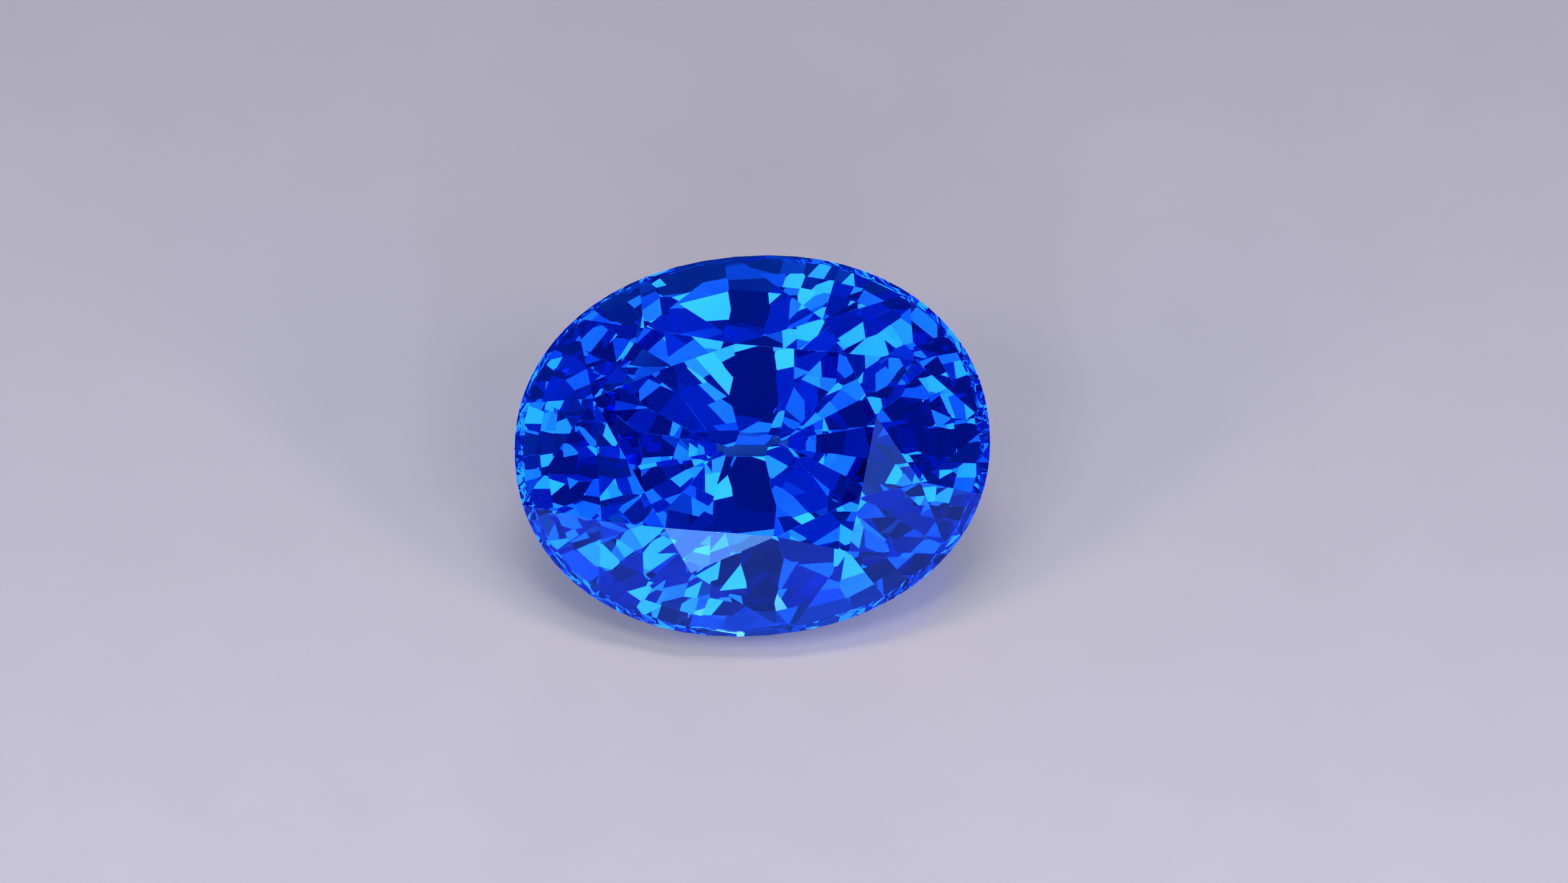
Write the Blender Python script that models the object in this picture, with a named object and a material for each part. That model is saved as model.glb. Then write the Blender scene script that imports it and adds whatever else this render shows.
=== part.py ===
"""A loose blue sapphire, cut and polished by hand as an oval.

The stone is one solid. Its crown has a table, eight star facets, eight main facets and
sixteen upper girdle facets. Below a thin girdle, the pavilion has eight tiers of facets
that close on a short keel. It lies as a loose stone does, on one flat facet of its
pavilion, so the table leans back and faces the front.

Lengths are in metres. The stone is worked out in its own frame first, with its length
along X, its table facing +Z and its girdle at z = 0, and is then laid down on +Z up.
"""

import math
import random

import bmesh
import bpy
from mathutils import Matrix, Vector

# Outline at the girdle
LENGTH = 0.00960
WIDTH = 0.00766
FULLNESS = 2.12
GIRDLE_THICKNESS = 0.00016
GIRDLE_FLATS = 72

# Crown, anticlockwise from the left end as seen from above the table
CROWN_HEIGHT = 0.00135
TABLE_CORNERS = (
    (-0.00310, 0.00124),
    (-0.00191, -0.00148),
    (0.00032, -0.00185),
    (0.00208, -0.00121),
    (0.00254, 0.00038),
    (0.00201, 0.00170),
    (-0.00015, 0.00208),
    (-0.00151, 0.00174),
)
MAIN_FACING = (192, 233, 273, 314, 360, 412, 450, 486)
STAR_SLOPE = (19, 20, 20, 21, 22, 21, 21, 18)

# Pavilion tiers, from the girdle down: facets, slope, where the tier ends as a distance
# in from the girdle, and the place of its first facet as a share of one facet
PAVILION_TIERS = (
    (32, 60.0, 0.00045, 0.5),
    (24, 48.5, 0.00100, 0.0),
    (24, 44.9, 0.00150, 0.0),
    (24, 42.7, 0.00186, 0.0),
    (16, 40.9, 0.00290, 0.0),
    (16, 39.4, 0.00332, 0.0),
    (16, 38.3, 0.00362, 0.0),
    (8, 31.0, 0.00383, 0.0),
)
PAVILION_TURN = -5.3
FACING_WANDER = 1.0
SLOPE_WANDER = 0.4
WANDER_SEED = 2

# How much further in each tier reaches at the two ends than at the sides, which keeps the
# keel short: 0 gives the longest keel and 1 closes it to a point
END_DRAW = 0.5

# The tier that the stone lies on, and which way that facet faces
REST_TIER = 4
REST_FACING = -95.0

BLOCK_SIDE = 0.03
SNAP = 1e-8
SAPPHIRE_BLUE = (0.01, 0.07, 0.62, 1.0)


def clear_scene():
    for obj in list(bpy.data.objects):
        bpy.data.objects.remove(obj, do_unlink=True)


def outward(facing):
    return Vector((math.cos(facing), math.sin(facing), 0.0))


def girdle_reach(facing):
    """Distance from the axis to the girdle's tangent that faces this way."""
    power = FULLNESS / (FULLNESS - 1)
    along = abs(LENGTH / 2 * math.cos(facing)) ** power
    across = abs(WIDTH / 2 * math.sin(facing)) ** power
    return (along + across) ** (1 / power)


def girdle_point(facing):
    """The point of the girdle's upper edge whose outward direction is this one."""
    power = FULLNESS / (FULLNESS - 1)
    scale = girdle_reach(facing) ** (1 - power)
    cos, sin = math.cos(facing), math.sin(facing)
    x = math.copysign((LENGTH / 2) ** power * abs(cos) ** (power - 1) * scale, cos)
    y = math.copysign((WIDTH / 2) ** power * abs(sin) ** (power - 1) * scale, sin)
    return Vector((x, y, GIRDLE_THICKNESS / 2))


def facet(point, facing, slope):
    """The plane through a point that slopes down this way by this angle, as (normal, distance)."""
    normal = outward(facing) * math.sin(slope)
    normal.z = math.cos(slope)
    return normal, normal.dot(point)


def facet_through(a, b, c):
    """The plane through three points, its normal away from the stone's middle."""
    normal = (b - a).cross(c - a).normalized()
    distance = normal.dot(a)
    return (normal, distance) if distance > 0 else (-normal, -distance)


def meeting_point(first, second, third):
    rows = Matrix((first[0], second[0], third[0]))
    return rows.inverted() @ Vector((first[1], second[1], third[1]))


def main_facet(facing, corners):
    """The plane that touches the girdle at its foot and the table's corner at its top."""
    reach = max(outward(facing).dot(corner) for corner in corners)
    fall = CROWN_HEIGHT - GIRDLE_THICKNESS / 2
    slope = math.atan2(fall, girdle_reach(facing) - reach)
    return facet(girdle_point(facing), facing, slope)


def crown_facets():
    corners = [Vector((x, y, CROWN_HEIGHT)) for x, y in TABLE_CORNERS]
    facings = [math.radians(angle) for angle in MAIN_FACING]
    facings.append(facings[0] + 2 * math.pi)
    mains = [main_facet(facing, corners) for facing in facings]
    facets = [(Vector((0.0, 0.0, 1.0)), CROWN_HEIGHT)] + mains[:-1]
    for i, slope in enumerate(STAR_SLOPE):
        edge = corners[(i + 1) % len(corners)] - corners[i]
        star = facet(corners[i], math.atan2(-edge.x, edge.y), math.radians(slope))
        star_tip = meeting_point(star, mains[i], mains[i + 1])
        halfway = girdle_point((facings[i] + facings[i + 1]) / 2)
        facets.append(star)
        for facing in facings[i : i + 2]:
            facets.append(facet_through(star_tip, girdle_point(facing), halfway))
    return facets


def girdle_facets():
    step = 2 * math.pi / GIRDLE_FLATS
    facings = [(i + 0.5) * step for i in range(GIRDLE_FLATS)]
    return [(outward(facing), girdle_reach(facing)) for facing in facings]


def draw(facing):
    """How many times as far in as at the sides a tier reaches on this facing."""
    return 1 + END_DRAW * (LENGTH / WIDTH - 1) * math.cos(facing) ** 2


def pavilion_tiers():
    """One list of planes for each tier. A hand-cut stone's facets wander a little."""
    hand = random.Random(WANDER_SEED)
    tiers = []
    tier_start, depth = 0.0, GIRDLE_THICKNESS / 2
    for count, slope, tier_end, first in PAVILION_TIERS:
        fall_to_middle = math.tan(math.radians(slope)) * (tier_end - tier_start) / 2
        inset = (tier_start + tier_end) / 2
        planes = []
        for i in range(count):
            turned = 360 * (i + first) / count + PAVILION_TURN
            facing = math.radians(turned + hand.uniform(-FACING_WANDER, FACING_WANDER))
            wander = math.radians(hand.uniform(-SLOPE_WANDER, SLOPE_WANDER))
            drawn_slope = math.atan(math.tan(math.radians(slope)) / draw(facing)) + wander
            middle = outward(facing) * (girdle_reach(facing) - inset * draw(facing))
            middle.z = -depth - fall_to_middle
            planes.append(facet(middle, facing, math.pi - drawn_slope))
        tiers.append(planes)
        tier_start = tier_end
        depth += 2 * fall_to_middle
    return tiers


def cut_stone(facets):
    """A block, ground down to one plane after another."""
    stone = bmesh.new()
    bmesh.ops.create_cube(stone, size=BLOCK_SIDE)
    for normal, distance in facets:
        everything = stone.verts[:] + stone.edges[:] + stone.faces[:]
        cut = bmesh.ops.bisect_plane(
            stone, geom=everything, dist=SNAP, plane_co=normal * distance,
            plane_no=normal, clear_outer=True,
        )
        rim = [part for part in cut["geom_cut"] if isinstance(part, bmesh.types.BMEdge)]
        if rim:
            bmesh.ops.contextual_create(stone, geom=rim)
    bmesh.ops.recalc_face_normals(stone, faces=stone.faces)
    return stone


def facing_error(plane, facing):
    turned = math.degrees(math.atan2(plane[0].y, plane[0].x)) - facing
    return abs((turned + 180) % 360 - 180)


def lay_down(stone, rest):
    """Turns the stone so that the facet it rests on is level and the table faces -Y."""
    level = rest[0].rotation_difference(Vector((0.0, 0.0, -1.0))).to_matrix()
    table = level @ Vector((0.0, 0.0, 1.0))
    turn = Matrix.Rotation(-math.pi / 2 - math.atan2(table.y, table.x), 3, "Z")
    bmesh.ops.transform(stone, matrix=(turn @ level).to_4x4(), verts=stone.verts)
    low = Vector([min(vert.co[axis] for vert in stone.verts) for axis in range(3)])
    high = Vector([max(vert.co[axis] for vert in stone.verts) for axis in range(3)])
    foot = Vector(((low.x + high.x) / 2, (low.y + high.y) / 2, low.z))
    bmesh.ops.translate(stone, vec=-foot, verts=stone.verts)


def sapphire_material():
    material = bpy.data.materials.new("sapphire")
    material.use_nodes = True
    shader = material.node_tree.nodes["Principled BSDF"]
    shader.inputs["Base Color"].default_value = SAPPHIRE_BLUE
    shader.inputs["Roughness"].default_value = 0.02
    shader.inputs["Metallic"].default_value = 0.0
    shader.inputs["IOR"].default_value = 1.77
    shader.inputs["Transmission Weight"].default_value = 1.0
    return material


def make_sapphire():
    tiers = pavilion_tiers()
    below = [plane for planes in tiers for plane in planes]
    stone = cut_stone(crown_facets() + girdle_facets() + below)
    rest = min(tiers[REST_TIER], key=lambda plane: facing_error(plane, REST_FACING))
    lay_down(stone, rest)
    mesh = bpy.data.meshes.new("sapphire")
    stone.to_mesh(mesh)
    stone.free()
    mesh.materials.append(sapphire_material())
    sapphire = bpy.data.objects.new("sapphire", mesh)
    bpy.context.scene.collection.objects.link(sapphire)


clear_scene()
make_sapphire()
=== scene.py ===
"""Looks of a loose, oval-cut blue sapphire: its polish, its blue, and a soft-lit pale stage."""

import math

import bmesh
import bpy
from bpy.props import FloatProperty, FloatVectorProperty, PointerProperty
from mathutils import Matrix, Vector


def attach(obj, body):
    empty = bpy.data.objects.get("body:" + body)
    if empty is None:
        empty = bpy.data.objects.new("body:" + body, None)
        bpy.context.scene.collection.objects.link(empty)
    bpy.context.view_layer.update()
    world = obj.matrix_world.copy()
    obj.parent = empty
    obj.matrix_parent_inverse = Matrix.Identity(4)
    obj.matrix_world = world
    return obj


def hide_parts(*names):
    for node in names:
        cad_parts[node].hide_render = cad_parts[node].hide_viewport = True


bl_info = {
    "name": "Oval-cut blue sapphire",
    "version": (1, 0, 0),
    "blender": (4, 5, 0),
    "location": "View3D > Sidebar > Sapphire",
    "description": "Finishes a faceted blue sapphire and lights it on a pale floor",
    "category": "Object",
}

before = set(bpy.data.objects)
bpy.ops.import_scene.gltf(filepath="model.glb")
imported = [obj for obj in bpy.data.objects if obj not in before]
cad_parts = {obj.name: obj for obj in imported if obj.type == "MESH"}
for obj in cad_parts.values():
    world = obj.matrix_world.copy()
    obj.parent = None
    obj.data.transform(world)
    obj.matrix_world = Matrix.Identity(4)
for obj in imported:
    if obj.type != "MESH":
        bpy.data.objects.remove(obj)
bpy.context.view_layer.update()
STONE_NODE = "sapphire"

# The photograph's frame: the width that it covers at the stone, and how far right of and
# above the stone's middle it is centred
VIEW_WIDTH = 0.0318
VIEW_CENTRE = (0.00064, 0.00009)
SENSOR_WIDTH = 36.0

# Painted light and shade in the floor's colour round the stone: a painted pool of the blue light that it
# throws in front, and a painted faint blue shadow below its keel. Each has its middle, how far it reaches
# along X and Y, and how near to its middle, from 0 at its rim to 1, it starts and is in full
PAINTED_GLOW_PLACE = ((0.0006, -0.0010, 0.0), (0.0056, 0.0033, 1.0), (0.28, 0.52))
PAINTED_SHADOW_PLACE = ((-0.0001, 0.0026, 0.0), (0.0046, 0.0034, 1.0), (0.0, 0.9))

# Soft panels: name, angle away from the camera's line of sight, direction round it
# (0 is right, 90 up), width across, length along that direction, and brightness
PANELS = (
    ("overhead", 51.5, 90.0, 0.46, 0.110, 8.5),
    ("left", 51.0, 175.0, 0.32, 0.114, 7.0),
    ("right", 49.0, 0.0, 0.38, 0.114, 7.0),
    ("near right", 25.0, 20.0, 0.14, 0.14, 7.3),
    ("near top", 25.0, 90.0, 0.14, 0.14, 7.3),
    ("near left", 25.0, 160.0, 0.14, 0.14, 7.3),
    ("near low left", 25.0, 235.0, 0.15, 0.15, 8.8),
    ("near low right", 25.0, 305.0, 0.14, 0.14, 7.3),
    ("low front", 40.0, 265.0, 0.15, 0.13, 6.6),
    ("right veil", 42.0, 346.0, 0.09, 0.07, 1.1),
    ("back", 112.0, 80.0, 0.20, 0.12, 4.0),
    ("inner top right", 20.0, 55.0, 0.08, 0.08, 3.5),
    ("inner top left", 20.0, 125.0, 0.08, 0.08, 1.6),
    ("inner left", 20.0, 197.0, 0.08, 0.08, 2.4),
    ("inner front", 20.0, 270.0, 0.08, 0.08, 3.5),
    ("inner right", 20.0, 342.0, 0.08, 0.08, 1.6),
    ("outer top right", 30.0, 55.0, 0.09, 0.07, 2.0),
    ("outer top left", 30.0, 125.0, 0.09, 0.07, 3.5),
    ("outer left", 30.0, 197.0, 0.09, 0.07, 1.6),
    ("outer front", 30.0, 270.0, 0.09, 0.07, 2.0),
    ("outer right", 30.0, 342.0, 0.09, 0.07, 3.0),
    ("high right", 51.0, 43.0, 0.14, 0.114, 2.6),
    ("high left", 51.0, 137.0, 0.14, 0.114, 3.0),
    ("low left", 51.0, 213.0, 0.14, 0.114, 2.4),
    ("lower left", 51.0, 234.0, 0.14, 0.114, 3.5),
    ("lower right", 51.0, 300.0, 0.14, 0.114, 2.5),
    ("low right", 51.0, 322.0, 0.14, 0.114, 2.6),
)


class StoneSettings(bpy.types.PropertyGroup):
    edge_width: FloatProperty(
        name="Edge width",
        description="Width of the narrow polished flat along each facet edge",
        default=0.000012,
        min=0.0,
        precision=6,
        subtype="DISTANCE",
        unit="LENGTH",
    )
    weld: FloatProperty(
        name="Weld distance",
        description="Points closer than this are one point",
        default=0.0000002,
        min=0.0,
        precision=7,
        subtype="DISTANCE",
        unit="LENGTH",
    )
    facet_angle: FloatProperty(
        name="Facet angle",
        description="Triangles that meet at less than this angle lie in one facet",
        default=math.radians(0.05),
        subtype="ANGLE",
        unit="ROTATION",
    )
    ior: FloatProperty(
        name="Index of refraction",
        description="Index of refraction of corundum",
        default=1.77,
        min=1.0,
    )
    polish: FloatProperty(
        name="Polish",
        description="Roughness of the polished facets",
        default=0.0,
        min=0.0,
        max=1.0,
        subtype="FACTOR",
    )
    surface_tint: FloatVectorProperty(
        name="Surface tint",
        description="Colour of the light that the facets let through",
        default=(0.93, 0.96, 1.0),
        size=3,
        min=0.0,
        max=1.0,
        subtype="COLOR",
    )
    gloss_tint: FloatVectorProperty(
        name="Gloss tint",
        description="Colour and strength of what the facets mirror when seen straight on",
        default=(0.21, 0.50, 0.80),
        size=3,
        min=0.0,
        max=1.0,
        subtype="COLOR",
    )
    band_tint: FloatVectorProperty(
        name="Band tint",
        description="Surface tint in the middle of the crystal's faint straight growth bands",
        default=(0.84, 0.92, 1.0),
        size=3,
        min=0.0,
        max=1.0,
        subtype="COLOR",
    )
    band_width: FloatProperty(
        name="Band width",
        description="Distance from one growth band to the next",
        default=0.0011,
        min=0.0001,
        precision=5,
        subtype="DISTANCE",
        unit="LENGTH",
    )
    body_colour: FloatVectorProperty(
        name="Body colour",
        description="What the crystal lets through: red is absorbed most and blue least",
        default=(0.0, 0.54, 0.94),
        size=3,
        min=0.0,
        max=1.0,
        subtype="COLOR",
    )
    depth_of_colour: FloatProperty(
        name="Depth of colour",
        description="Share of red light absorbed for each metre of crystal",
        default=480.0,
        min=0.0,
    )
    girdle_lean: FloatProperty(
        name="Girdle lean",
        description="Facets whose direction leans less than this towards the table's are the girdle's",
        default=0.05,
        min=0.0,
        max=1.0,
    )
    girdle_grain: FloatProperty(
        name="Girdle grain",
        description="Roughness of the finely ground girdle",
        default=0.25,
        min=0.0,
        max=1.0,
        subtype="FACTOR",
    )


class StageSettings(bpy.types.PropertyGroup):
    floor_colour: FloatVectorProperty(
        name="Floor colour",
        description="Colour of the pale floor",
        default=(0.437, 0.385, 0.350),
        size=3,
        min=0.0,
        max=1.0,
        subtype="COLOR",
    )
    # Painted light: how much the floor's colour is made paler towards the front, as the light's fall-off
    # would make it
    painted_falloff: FloatProperty(
        name="Floor fade",
        description="How much paler the floor gets towards the front of the picture",
        default=0.19,
        min=0.0,
        max=1.0,
        subtype="FACTOR",
    )
    floor_mottle: FloatProperty(
        name="Floor mottle",
        description="How strong the floor's faint cloudiness is",
        default=0.03,
        min=0.0,
        max=1.0,
        subtype="FACTOR",
    )
    # Painted light: tints the floor's colour the way the stone's blue light would
    painted_glow_tint: FloatVectorProperty(
        name="Glow tint",
        description="How the blue light that the stone throws tints the floor close to it",
        default=(1.10, 1.11, 1.40),
        size=3,
        min=0.0,
        max=2.0,
        subtype="COLOR",
    )
    # Painted shade: tints the floor's colour as a faint blue shadow below the stone's keel
    painted_shadow_tint: FloatVectorProperty(
        name="Shadow tint",
        description="Tint of the floor in the faint blue shadow below the stone's keel",
        default=(0.60, 0.74, 1.0),
        size=3,
        min=0.0,
        max=2.0,
        subtype="COLOR",
    )
    floor_gap: FloatProperty(
        name="Floor gap",
        description="Thin gap between the facet that the stone lies on and the floor",
        default=0.00002,
        min=0.0,
        precision=6,
        subtype="DISTANCE",
        unit="LENGTH",
    )
    floor_radius: FloatProperty(
        name="Floor radius",
        description="Radius of the round floor",
        default=3.0,
        min=0.1,
        subtype="DISTANCE",
        unit="LENGTH",
    )
    light_distance: FloatProperty(
        name="Light distance",
        description="Distance from the stone to each soft light",
        default=0.5,
        min=0.05,
        subtype="DISTANCE",
        unit="LENGTH",
    )
    light_strength: FloatProperty(
        name="Light strength",
        description="How much stronger than planned all the soft panels shine",
        default=1.03,
        min=0.0,
    )
    front_tint: FloatVectorProperty(
        name="Front tint",
        description="Colour of the panels in front, which light the stone's own shadow",
        default=(0.80, 0.94, 1.25),
        size=3,
        min=0.0,
        max=2.0,
        subtype="COLOR",
    )
    room_colour: FloatVectorProperty(
        name="Room colour",
        description="Dim light of the darker parts of the room around the stage",
        default=(0.008, 0.045, 0.28),
        size=3,
        min=0.0,
        max=1.0,
        subtype="COLOR",
    )
    room_glow: FloatVectorProperty(
        name="Room glow",
        description="Light of the brighter parts of the room",
        default=(0.01, 0.15, 0.8),
        size=3,
        min=0.0,
        max=1.0,
        subtype="COLOR",
    )
    camera_distance: FloatProperty(
        name="Camera distance",
        description="Distance from the camera to the stone",
        default=0.30,
        min=0.02,
        subtype="DISTANCE",
        unit="LENGTH",
    )
    camera_height: FloatProperty(
        name="Camera height",
        description="Angle of the camera's line of sight above the floor",
        default=math.radians(49.0),
        subtype="ANGLE",
        unit="ROTATION",
    )


def camera_axes(settings):
    """The camera's right and up directions, and the one back from the stone to it."""
    right = Vector((1.0, 0.0, 0.0))
    back = Vector((0.0, -math.cos(settings.camera_height), math.sin(settings.camera_height)))
    return right, back.cross(right), back


def link_new(name, data):
    made = bpy.data.objects.new(name, data)
    bpy.context.scene.collection.objects.link(made)
    return made


def new_material(name):
    material = bpy.data.materials.new(name)
    material.use_nodes = True
    return material, material.node_tree.nodes, material.node_tree.links


def growth_bands(nodes, links, settings):
    """Faint straight bands of stronger and weaker blue, as the crystal grew."""
    place = nodes.new("ShaderNodeTexCoord")
    lean = nodes.new("ShaderNodeMapping")
    lean.inputs["Rotation"].default_value = (0.35, 0.9, 0.6)
    links.new(place.outputs["Object"], lean.inputs["Vector"])
    waves = nodes.new("ShaderNodeTexWave")
    waves.wave_profile = "SIN"
    waves.inputs["Scale"].default_value = 0.314 / settings.band_width
    waves.inputs["Distortion"].default_value = 0.6
    waves.inputs["Detail"].default_value = 1.0
    waves.inputs["Detail Scale"].default_value = 0.5
    links.new(lean.outputs["Vector"], waves.inputs["Vector"])
    tint = nodes.new("ShaderNodeMix")
    tint.data_type = "RGBA"
    tint.inputs["A"].default_value = (*settings.surface_tint, 1.0)
    tint.inputs["B"].default_value = (*settings.band_tint, 1.0)
    links.new(waves.outputs["Fac"], tint.inputs["Factor"])
    return tint.outputs["Result"]


def ground_grain(nodes, links, shader, settings):
    """The fine, uneven grain that a grinding wheel leaves on the girdle."""
    place = nodes.new("ShaderNodeTexCoord")
    grain = nodes.new("ShaderNodeTexNoise")
    grain.inputs["Scale"].default_value = 22000.0
    grain.inputs["Detail"].default_value = 3.0
    links.new(place.outputs["Object"], grain.inputs["Vector"])
    rough = nodes.new("ShaderNodeMapRange")
    rough.inputs["To Min"].default_value = 0.4 * settings.girdle_grain
    rough.inputs["To Max"].default_value = 1.6 * settings.girdle_grain
    links.new(grain.outputs["Fac"], rough.inputs["Value"])
    links.new(rough.outputs["Result"], shader.inputs["Roughness"])
    pits = nodes.new("ShaderNodeBump")
    pits.inputs["Strength"].default_value = 0.15
    pits.inputs["Distance"].default_value = 0.000004
    links.new(grain.outputs["Fac"], pits.inputs["Height"])
    links.new(pits.outputs["Normal"], shader.inputs["Normal"])


def crystal_material(name, settings, ground):
    """Clear blue corundum. The blue is in the crystal's depth and not on its surface."""
    material, nodes, links = new_material(name)
    shader = nodes["Principled BSDF"]
    links.new(growth_bands(nodes, links, settings), shader.inputs["Base Color"])
    shader.inputs["Specular Tint"].default_value = (*settings.gloss_tint, 1.0)
    shader.inputs["Transmission Weight"].default_value = 1.0
    shader.inputs["IOR"].default_value = settings.ior
    shader.inputs["Roughness"].default_value = settings.polish
    if ground:
        ground_grain(nodes, links, shader, settings)
    body = nodes.new("ShaderNodeVolumeAbsorption")
    body.inputs["Color"].default_value = (*settings.body_colour, 1.0)
    body.inputs["Density"].default_value = settings.depth_of_colour
    links.new(body.outputs["Volume"], nodes["Material Output"].inputs["Volume"])
    return material


def table_normal():
    """The outward direction of the stone's largest facet, which is its table."""
    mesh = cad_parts[STONE_NODE].data
    shares = {}
    for face in mesh.polygons:
        key = tuple(round(part, 3) for part in face.normal)
        shares[key] = shares.get(key, 0.0) + face.area
    return Vector(max(shares, key=shares.get)).normalized()


def polished_stone(settings):
    """A copy of the cut stone with whole facets and narrow flats along their edges."""
    stone = bmesh.new()
    stone.from_mesh(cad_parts[STONE_NODE].data)
    bmesh.ops.remove_doubles(stone, verts=stone.verts, dist=settings.weld)
    bmesh.ops.dissolve_limit(
        stone, angle_limit=settings.facet_angle, verts=stone.verts, edges=stone.edges
    )
    for face in stone.faces:
        face.smooth = False
    bmesh.ops.bevel(
        stone, geom=stone.edges[:], offset=settings.edge_width / 2, offset_type="WIDTH",
        segments=1, profile=0.5, affect="EDGES", clamp_overlap=True, material=-1,
    )
    bmesh.ops.recalc_face_normals(stone, faces=stone.faces)
    mesh = bpy.data.meshes.new("cut_stone")
    stone.to_mesh(mesh)
    stone.free()
    return mesh


def facet_tree():
    """Polishes every facet but the upright ones of the girdle, which are only ground.

    Returns the tree and the identifier of each of its named inputs.
    """
    tree = bpy.data.node_groups.new("facet_finish", "GeometryNodeTree")
    named = {}
    for name, kind in (
        ("Geometry", "NodeSocketGeometry"),
        ("Weld distance", "NodeSocketFloat"),
        ("Table direction", "NodeSocketVector"),
        ("Girdle lean", "NodeSocketFloat"),
        ("Polished", "NodeSocketMaterial"),
        ("Ground", "NodeSocketMaterial"),
    ):
        socket = tree.interface.new_socket(name=name, in_out="INPUT", socket_type=kind)
        named[name] = socket.identifier
    tree.interface.new_socket(name="Geometry", in_out="OUTPUT", socket_type="NodeSocketGeometry")
    nodes, links = tree.nodes, tree.links
    given = nodes.new("NodeGroupInput")
    weld = nodes.new("GeometryNodeMergeByDistance")
    links.new(given.outputs["Geometry"], weld.inputs["Geometry"])
    links.new(given.outputs["Weld distance"], weld.inputs["Distance"])
    facing = nodes.new("GeometryNodeInputNormal")
    lean = nodes.new("ShaderNodeVectorMath")
    lean.operation = "DOT_PRODUCT"
    links.new(facing.outputs["Normal"], lean.inputs[0])
    links.new(given.outputs["Table direction"], lean.inputs[1])
    amount = nodes.new("ShaderNodeMath")
    amount.operation = "ABSOLUTE"
    links.new(lean.outputs["Value"], amount.inputs[0])
    upright = nodes.new("ShaderNodeMath")
    upright.operation = "LESS_THAN"
    links.new(amount.outputs["Value"], upright.inputs[0])
    links.new(given.outputs["Girdle lean"], upright.inputs[1])
    whole = nodes.new("GeometryNodeRealizeInstances")
    links.new(weld.outputs["Geometry"], whole.inputs["Geometry"])
    polish = nodes.new("GeometryNodeSetMaterial")
    links.new(whole.outputs["Geometry"], polish.inputs["Geometry"])
    links.new(given.outputs["Polished"], polish.inputs["Material"])
    grind = nodes.new("GeometryNodeSetMaterial")
    links.new(polish.outputs["Geometry"], grind.inputs["Geometry"])
    links.new(upright.outputs["Value"], grind.inputs["Selection"])
    links.new(given.outputs["Ground"], grind.inputs["Material"])
    links.new(grind.outputs["Geometry"], nodes.new("NodeGroupOutput").inputs["Geometry"])
    return tree, named


def finish_facets(stone, settings):
    """Runs the tree on the stone and keeps its result as a plain mesh."""
    tree, named = facet_tree()
    finish = stone.modifiers.new("finish", "NODES")
    finish.node_group = tree
    finish[named["Weld distance"]] = settings.weld
    finish[named["Table direction"]] = table_normal()
    finish[named["Girdle lean"]] = settings.girdle_lean
    finish[named["Polished"]] = crystal_material("polished sapphire", settings, False)
    finish[named["Ground"]] = crystal_material("ground girdle", settings, True)
    bpy.context.view_layer.update()
    seen = stone.evaluated_get(bpy.context.evaluated_depsgraph_get())
    finished = bpy.data.meshes.new_from_object(seen)
    stone.modifiers.clear()
    stone.data = finished
    if len(finished.materials) != 2:
        raise RuntimeError("the stone should have polished facets and a ground girdle")


class SAPPHIRE_OT_stone(bpy.types.Operator):
    """Polish the cut stone and give it its blue"""

    bl_idname = "sapphire.stone"
    bl_label = "Finish the stone"

    def execute(self, context):
        settings = context.scene.sapphire_stone
        if STONE_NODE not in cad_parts:
            raise RuntimeError("the packed model has no sapphire to finish")
        stone = link_new("cut_sapphire", polished_stone(settings))
        finish_facets(stone, settings)
        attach(stone, "root")
        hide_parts(STONE_NODE)
        return {"FINISHED"}


def painted_thrown_blue(nodes, links, place, paint, spot, tint):
    """The floor's paint, with a tint painted round one spot that stands in for the stone's blue light and
    shadow there.
    """
    middle, reach, edge = spot
    centre = nodes.new("ShaderNodeMapping")
    centre.vector_type = "TEXTURE"
    centre.inputs["Location"].default_value = middle
    centre.inputs["Scale"].default_value = reach
    links.new(place.outputs["Object"], centre.inputs["Vector"])
    nearness = nodes.new("ShaderNodeTexGradient")
    nearness.gradient_type = "SPHERICAL"
    links.new(centre.outputs["Vector"], nearness.inputs["Vector"])
    share = nodes.new("ShaderNodeMapRange")
    share.interpolation_type = "SMOOTHSTEP"
    share.inputs["From Min"].default_value = edge[0]
    share.inputs["From Max"].default_value = edge[1]
    links.new(nearness.outputs["Fac"], share.inputs["Value"])
    # Painted light and shade, multiplied into the floor's paint
    glow = nodes.new("ShaderNodeMix")
    glow.data_type = "RGBA"
    glow.blend_type = "MULTIPLY"
    glow.inputs["B"].default_value = (*tint, 1.0)
    links.new(paint, glow.inputs["A"])
    links.new(share.outputs["Result"], glow.inputs["Factor"])
    return glow.outputs["Result"]


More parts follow.
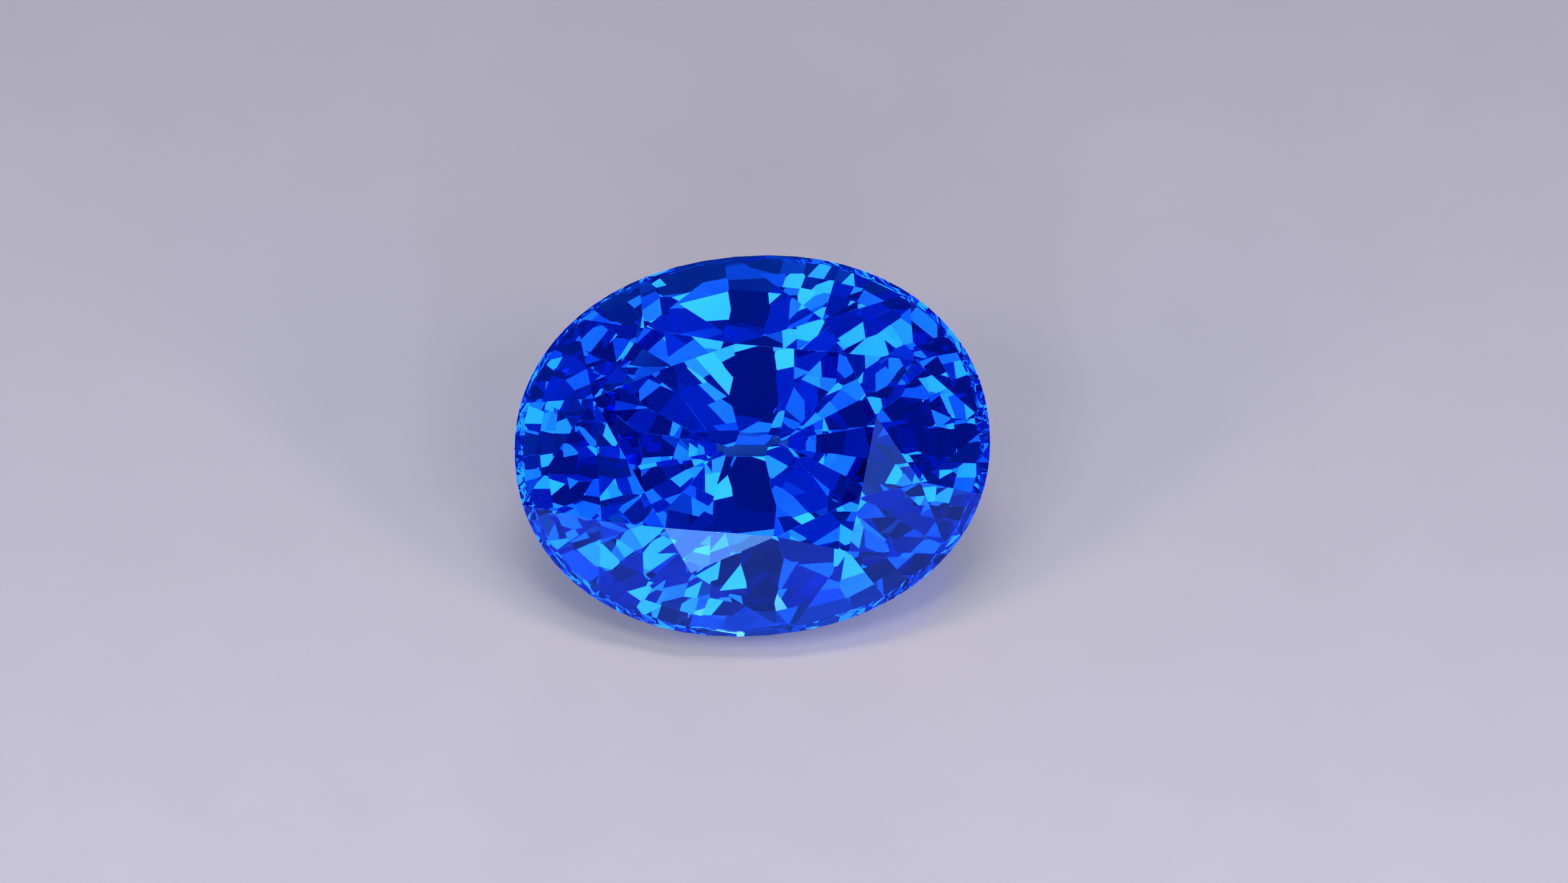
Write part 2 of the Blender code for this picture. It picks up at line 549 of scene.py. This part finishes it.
def floor_material(settings):
    """Smooth pale card, with painted light that makes it a little lighter towards the front, very faintly
    cloudy, and with a painted pool of blue light and a painted blue shadow round the stone.
    """
    material, nodes, links = new_material("pale floor")
    shader = nodes["Principled BSDF"]
    place = nodes.new("ShaderNodeTexCoord")
    parts = nodes.new("ShaderNodeSeparateXYZ")
    links.new(place.outputs["Object"], parts.inputs["Vector"])
    # Painted fall-off of light: the floor's colour is made paler towards the front and darker towards the
    # back
    painted_fade = nodes.new("ShaderNodeMapRange")
    painted_fade.inputs["From Min"].default_value = -0.0136
    painted_fade.inputs["From Max"].default_value = 0.0184
    painted_fade.inputs["To Min"].default_value = 1.0 + settings.painted_falloff
    painted_fade.inputs["To Max"].default_value = 1.0 - settings.painted_falloff
    links.new(parts.outputs["Y"], painted_fade.inputs["Value"])
    clouds = nodes.new("ShaderNodeTexNoise")
    clouds.inputs["Scale"].default_value = 420.0
    clouds.inputs["Detail"].default_value = 4.0
    links.new(place.outputs["Object"], clouds.inputs["Vector"])
    mottle = nodes.new("ShaderNodeMapRange")
    mottle.inputs["To Min"].default_value = 1.0 - settings.floor_mottle
    mottle.inputs["To Max"].default_value = 1.0 + settings.floor_mottle
    links.new(clouds.outputs["Fac"], mottle.inputs["Value"])
    tone = nodes.new("ShaderNodeMath")
    tone.operation = "MULTIPLY"
    links.new(painted_fade.outputs["Result"], tone.inputs[0])
    links.new(mottle.outputs["Result"], tone.inputs[1])
    paint = nodes.new("ShaderNodeVectorMath")
    paint.operation = "SCALE"
    paint.inputs[0].default_value = settings.floor_colour
    links.new(tone.outputs["Value"], paint.inputs["Scale"])
    tinted = paint.outputs["Vector"]
    # Paints a pool of blue light in front of the stone and a blue shadow below its keel into the floor's
    # colour
    for spot, tint in ((PAINTED_GLOW_PLACE, settings.painted_glow_tint), (PAINTED_SHADOW_PLACE, settings.painted_shadow_tint)):
        tinted = painted_thrown_blue(nodes, links, place, tinted, spot, tint)
    links.new(tinted, shader.inputs["Base Color"])
    shader.inputs["Roughness"].default_value = 0.8
    shader.inputs["Specular IOR Level"].default_value = 0.0
    return material


def add_floor(settings):
    floor = bmesh.new()
    bmesh.ops.create_circle(floor, cap_ends=True, segments=96, radius=settings.floor_radius)
    bmesh.ops.translate(floor, vec=(0.0, 0.0, -settings.floor_gap), verts=floor.verts)
    mesh = bpy.data.meshes.new("floor")
    floor.to_mesh(mesh)
    floor.free()
    mesh.materials.append(floor_material(settings))
    link_new("floor", mesh)


def soften_panel(panel):
    """Makes a panel even in its middle and soft towards its rim, as a diffuser is."""
    panel.use_nodes = True
    nodes, links = panel.node_tree.nodes, panel.node_tree.links
    place = nodes.new("ShaderNodeNewGeometry")
    far = nodes.new("ShaderNodeVectorMath")
    far.operation = "SUBTRACT"
    far.inputs[0].default_value = (1.0, 1.0, 1.0)
    links.new(place.outputs["Parametric"], far.inputs[1])
    both = nodes.new("ShaderNodeVectorMath")
    both.operation = "MULTIPLY"
    links.new(place.outputs["Parametric"], both.inputs[0])
    links.new(far.outputs["Vector"], both.inputs[1])
    parts = nodes.new("ShaderNodeSeparateXYZ")
    links.new(both.outputs["Vector"], parts.inputs["Vector"])
    glow = nodes.new("ShaderNodeMath")
    glow.operation = "MULTIPLY"
    links.new(parts.outputs["X"], glow.inputs[0])
    links.new(parts.outputs["Y"], glow.inputs[1])
    peak = nodes.new("ShaderNodeMath")
    peak.operation = "MULTIPLY"
    peak.inputs[1].default_value = 27.2
    links.new(glow.outputs["Value"], peak.inputs[0])
    even = nodes.new("ShaderNodeMath")
    even.operation = "MINIMUM"
    even.inputs[1].default_value = 1.0
    links.new(peak.outputs["Value"], even.inputs[0])
    links.new(even.outputs["Value"], nodes["Emission"].inputs["Strength"])


def add_panels(settings):
    right, above, back = camera_axes(settings)
    for name, angle, clock, width, length, brightness in PANELS:
        panel = bpy.data.lights.new(name, "AREA")
        panel.shape = "RECTANGLE"
        panel.size = width
        panel.size_y = length
        panel.energy = settings.light_strength * brightness * math.pi * width * length
        if 180.0 < clock < 360.0:
            panel.color = settings.front_tint
        soften_panel(panel)
        outward = right * math.cos(math.radians(clock)) + above * math.sin(math.radians(clock))
        away = back * math.cos(math.radians(angle)) + outward * math.sin(math.radians(angle))
        along = (outward - away * outward.dot(away)).normalized()
        holder = link_new(name, panel)
        holder.location = away * settings.light_distance
        holder.rotation_mode = "QUATERNION"
        holder.rotation_quaternion = Matrix((along.cross(away), along, away)).transposed().to_quaternion()
        holder.visible_camera = False


def add_room(settings):
    """A dim blue room with large, soft brighter parts."""
    world = bpy.data.worlds.new("room")
    world.use_nodes = True
    nodes, links = world.node_tree.nodes, world.node_tree.links
    direction = nodes.new("ShaderNodeTexCoord")
    patches = nodes.new("ShaderNodeTexNoise")
    patches.inputs["Scale"].default_value = 3.0
    patches.inputs["Detail"].default_value = 1.0
    links.new(direction.outputs["Generated"], patches.inputs["Vector"])
    share = nodes.new("ShaderNodeMapRange")
    share.interpolation_type = "SMOOTHSTEP"
    share.inputs["From Min"].default_value = 0.42
    share.inputs["From Max"].default_value = 0.62
    links.new(patches.outputs["Fac"], share.inputs["Value"])
    tone = nodes.new("ShaderNodeMix")
    tone.data_type = "RGBA"
    tone.inputs["A"].default_value = (*settings.room_colour, 1.0)
    tone.inputs["B"].default_value = (*settings.room_glow, 1.0)
    links.new(share.outputs["Result"], tone.inputs["Factor"])
    links.new(tone.outputs["Result"], nodes["Background"].inputs["Color"])
    bpy.context.scene.world = world


def add_camera(settings):
    right, above, back = camera_axes(settings)
    points = [vertex.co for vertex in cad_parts[STONE_NODE].data.vertices]
    aim = Vector()
    for axis, offset in ((right, VIEW_CENTRE[0]), (above, VIEW_CENTRE[1])):
        places = [axis.dot(point) for point in points]
        aim += axis * ((min(places) + max(places)) / 2 + offset)
    places = [back.dot(point) for point in points]
    aim += back * (min(places) + max(places)) / 2
    camera = bpy.data.cameras.new("camera")
    camera.sensor_width = SENSOR_WIDTH
    camera.lens = SENSOR_WIDTH * settings.camera_distance / VIEW_WIDTH
    camera.clip_start = 0.01
    camera.clip_end = 20.0
    holder = link_new("camera", camera)
    holder.location = aim + back * settings.camera_distance
    holder.rotation_mode = "QUATERNION"
    holder.rotation_quaternion = back.to_track_quat("Z", "Y")
    bpy.context.scene.camera = holder


class SAPPHIRE_OT_stage(bpy.types.Operator):
    """Lay the floor and set the lights, the room and the camera"""

    bl_idname = "sapphire.stage"
    bl_label = "Set the stage"

    def execute(self, context):
        settings = context.scene.sapphire_stage
        add_floor(settings)
        add_panels(settings)
        add_room(settings)
        add_camera(settings)
        scene = context.scene
        scene.view_settings.view_transform = "Standard"
        scene.cycles.max_bounces = 24
        scene.cycles.glossy_bounces = 20
        scene.cycles.transmission_bounces = 24
        scene.cycles.use_denoising = True
        return {"FINISHED"}


class SAPPHIRE_PT_panel(bpy.types.Panel):
    bl_idname = "SAPPHIRE_PT_panel"
    bl_label = "Blue sapphire"
    bl_space_type = "VIEW_3D"
    bl_region_type = "UI"
    bl_category = "Sapphire"

    def draw(self, context):
        for settings, operator in (
            (context.scene.sapphire_stone, SAPPHIRE_OT_stone),
            (context.scene.sapphire_stage, SAPPHIRE_OT_stage),
        ):
            box = self.layout.box()
            for name in settings.__annotations__:
                box.prop(settings, name)
            box.operator(operator.bl_idname)


CLASSES = (StoneSettings, StageSettings, SAPPHIRE_OT_stone, SAPPHIRE_OT_stage, SAPPHIRE_PT_panel)


def register():
    for made in CLASSES:
        bpy.utils.register_class(made)
    bpy.types.Scene.sapphire_stone = PointerProperty(type=StoneSettings)
    bpy.types.Scene.sapphire_stage = PointerProperty(type=StageSettings)


def unregister():
    del bpy.types.Scene.sapphire_stage
    del bpy.types.Scene.sapphire_stone
    for made in reversed(CLASSES):
        bpy.utils.unregister_class(made)


def main():
    register()
    bpy.ops.sapphire.stone()
    bpy.ops.sapphire.stage()


if __name__ == "__main__":
    main()
